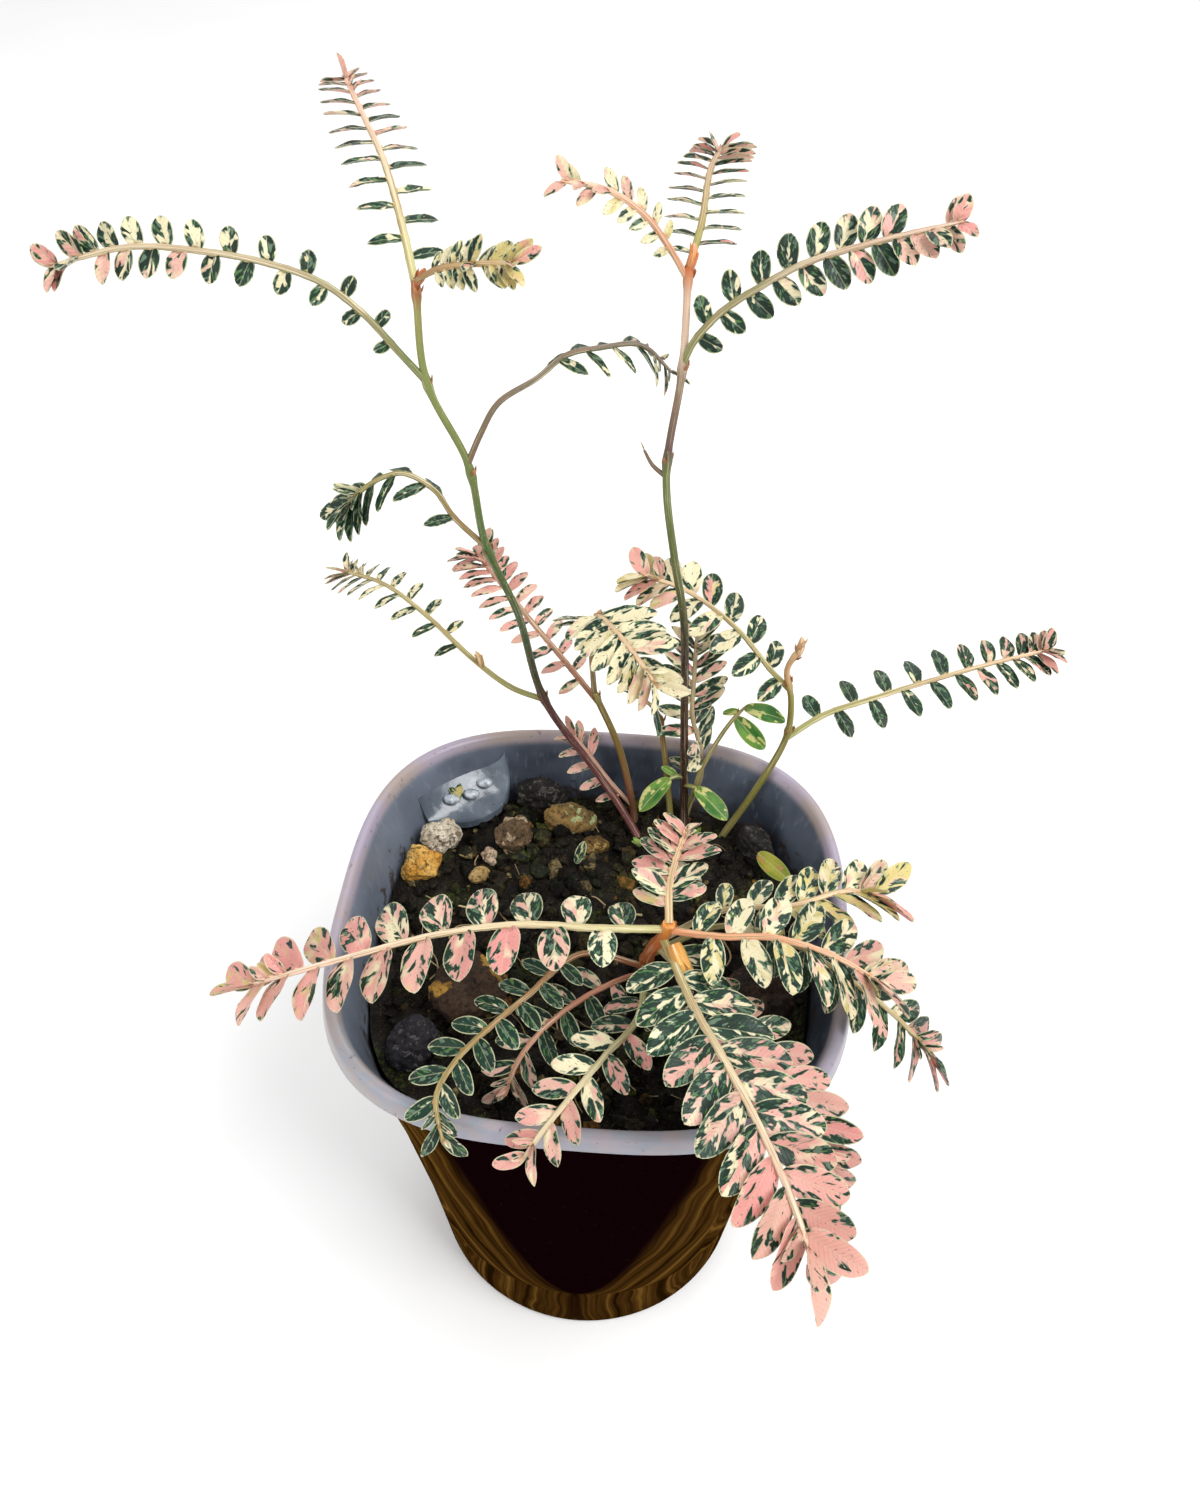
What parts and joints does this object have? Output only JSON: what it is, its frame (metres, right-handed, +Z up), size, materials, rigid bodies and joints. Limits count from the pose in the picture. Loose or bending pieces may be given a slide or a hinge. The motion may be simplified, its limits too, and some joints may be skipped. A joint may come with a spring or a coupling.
{
  "type": "potted variegated chamber bitter plant",
  "caption": "Variegated chamber bitter with feathery pink, cream and green leaflets on slender stems, in a square smoky plastic pot of dark soil with stones.",
  "frame": {"origin": "centre of the pot's flat underside", "axes": "+Z up; -Y toward the pot's front face, the side that the picture looks at; +X to the right of the picture"},
  "size_m": [0.2243, 0.2096, 0.2801],
  "materials": {
    "pot_plastic": "glossy, smoky, slightly translucent one-piece moulding, brown tint at the corners",
    "potting_soil": "loose damp potting mix, matt",
    "pale_stone": "rough, matt",
    "yellow_stone": "rough, matt",
    "tan_stone": "rough, matt",
    "dark_stone": "rough, matt, speckled",
    "stem_bark": "smooth thin bark, satin",
    "green_foliage": "thin soft leaf, satin",
    "variegated_foliage": "thin soft leaf, satin, dark green, cream and pink"
  },
  "bodies": {
    "root": {"frond_a1": "variegated_foliage", "frond_a2": "variegated_foliage", "frond_a3": "variegated_foliage", "frond_a4": "variegated_foliage", "frond_a5": "variegated_foliage", "frond_a6": "variegated_foliage", "frond_b1": "variegated_foliage", "frond_b2": "variegated_foliage", "frond_b3": "variegated_foliage", "frond_c1": "variegated_foliage", "frond_c2": "variegated_foliage", "frond_c3": "variegated_foliage", "frond_d1": "variegated_foliage", "frond_d2": "variegated_foliage", "frond_d3": "green_foliage", "frond_e1": "green_foliage", "frond_e2": "green_foliage", "frond_e3": "green_foliage", "frond_e4": "green_foliage", "frond_f1": "variegated_foliage", "frond_f10": "variegated_foliage", "frond_f11": "variegated_foliage", "frond_f2": "variegated_foliage", "frond_f3": "variegated_foliage", "frond_f4": "variegated_foliage", "frond_f5": "variegated_foliage", "frond_f6": "variegated_foliage", "frond_f7": "variegated_foliage", "frond_f8": "variegated_foliage", "frond_f9": "variegated_foliage", "pot": "pot_plastic", "soil": "potting_soil", "stem_a": "stem_bark", "stem_b": "stem_bark", "stem_c": "stem_bark", "stem_d": "stem_bark", "stem_e": "stem_bark", "stem_f": "stem_bark", "stone_black_back": "dark_stone", "stone_black_right": "dark_stone", "stone_dark_left": "dark_stone", "stone_ochre": "yellow_stone", "stone_rock_left": "dark_stone", "stone_rock_right": "dark_stone", "stone_shell": "tan_stone", "stone_small_tan": "tan_stone", "stone_tan_back": "tan_stone", "stone_tan_clump": "tan_stone", "stone_white": "pale_stone", "stone_yellow": "yellow_stone"}
  },
  "joints": []
}
